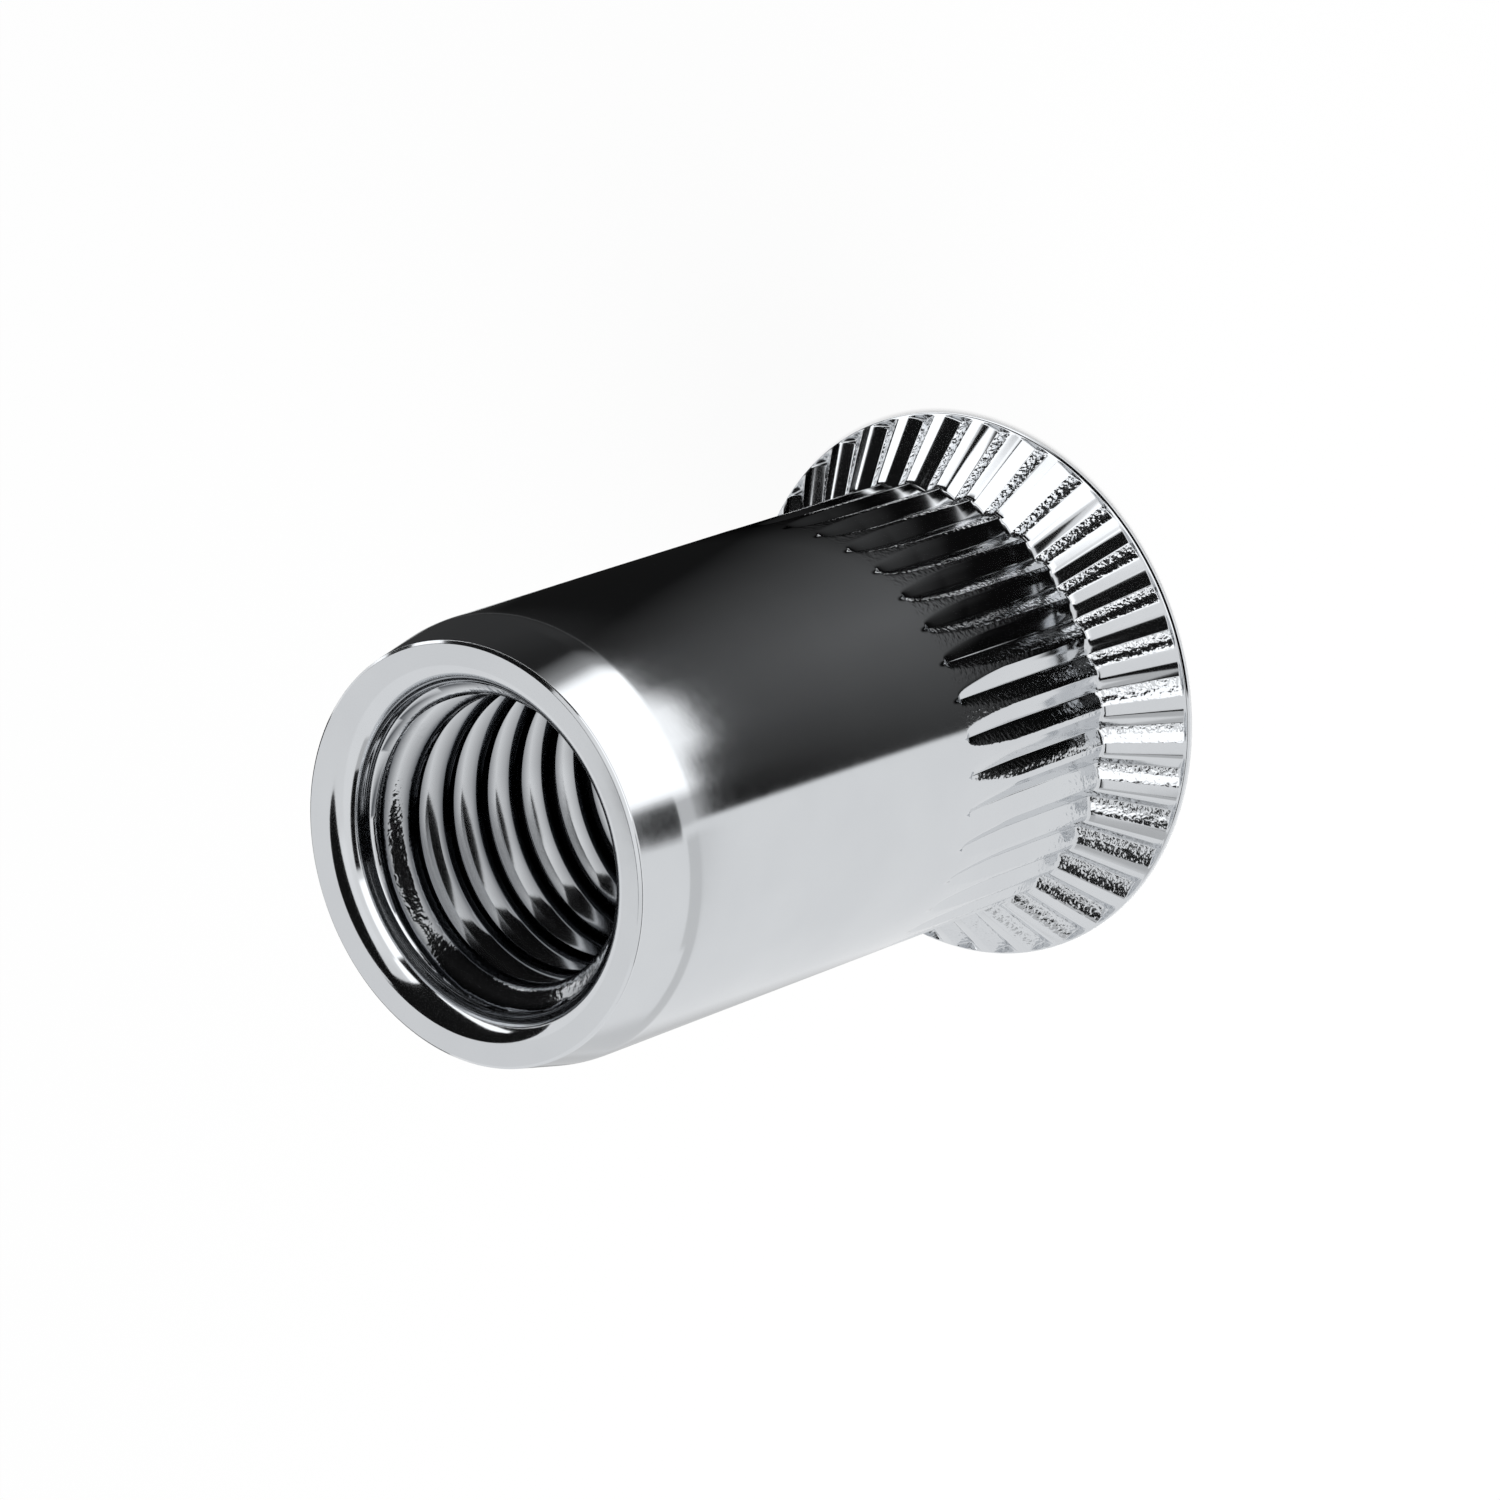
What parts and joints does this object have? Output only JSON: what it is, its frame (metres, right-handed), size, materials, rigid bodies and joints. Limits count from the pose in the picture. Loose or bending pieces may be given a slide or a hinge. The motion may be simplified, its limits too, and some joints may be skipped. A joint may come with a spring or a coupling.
{
  "type": "rivet nut",
  "caption": "Countersunk rivet nut: a round steel sleeve with an open threaded end, ribs under a serrated conical head and a thin-walled bore that folds when it is set.",
  "frame": {"origin": "centre of the head's flat face, which the nut stands on", "axes": "+Z along the axis from the head to the threaded end; +X through the crest of one rib"},
  "size_m": [0.014, 0.014, 0.0191],
  "materials": {
    "zinc_plated_steel": "bright zinc plating on cold-formed steel, faintly blue, with a fine grain"
  },
  "bodies": {
    "root": {"rivet_nut": "zinc_plated_steel"}
  },
  "joints": []
}
